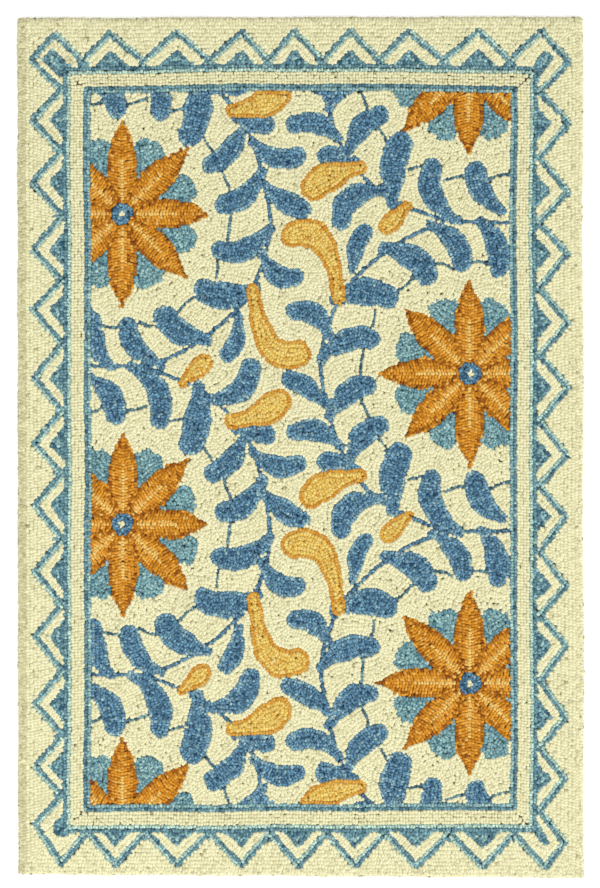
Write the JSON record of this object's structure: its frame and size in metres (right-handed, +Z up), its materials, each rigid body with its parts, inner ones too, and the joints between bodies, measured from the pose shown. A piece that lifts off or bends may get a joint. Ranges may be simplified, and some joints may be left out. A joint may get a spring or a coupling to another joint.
{
  "type": "hooked rug",
  "caption": "Small rectangular hooked wool rug lying flat, with looped pile in a flower, leaf and paisley pattern inside a zigzag border.",
  "frame": {"origin": "under the middle of the rug, on the surface it lies on", "axes": "+X across the rug, +Y along its length towards the end drawn at the top of the picture, +Z up through the pile"},
  "size_m": [0.6116, 0.9288, 0.0085],
  "materials": {
    "cream_yarn": "matt looped wool pile, cream ground",
    "leaf_blue_yarn": "matt looped wool pile, denim blue leaves, lines and zigzag",
    "light_blue_yarn": "matt looped wool pile, light blue petals and linings",
    "orange_yarn": "matt looped wool pile, rust and orange petals",
    "yellow_yarn": "matt looped wool pile, golden yellow pods and petal ribs",
    "backing_cloth": "plain woven natural cotton foundation cloth with a turned hem"
  },
  "bodies": {
    "root": {"hooked_rug": "cream_yarn"}
  },
  "joints": []
}
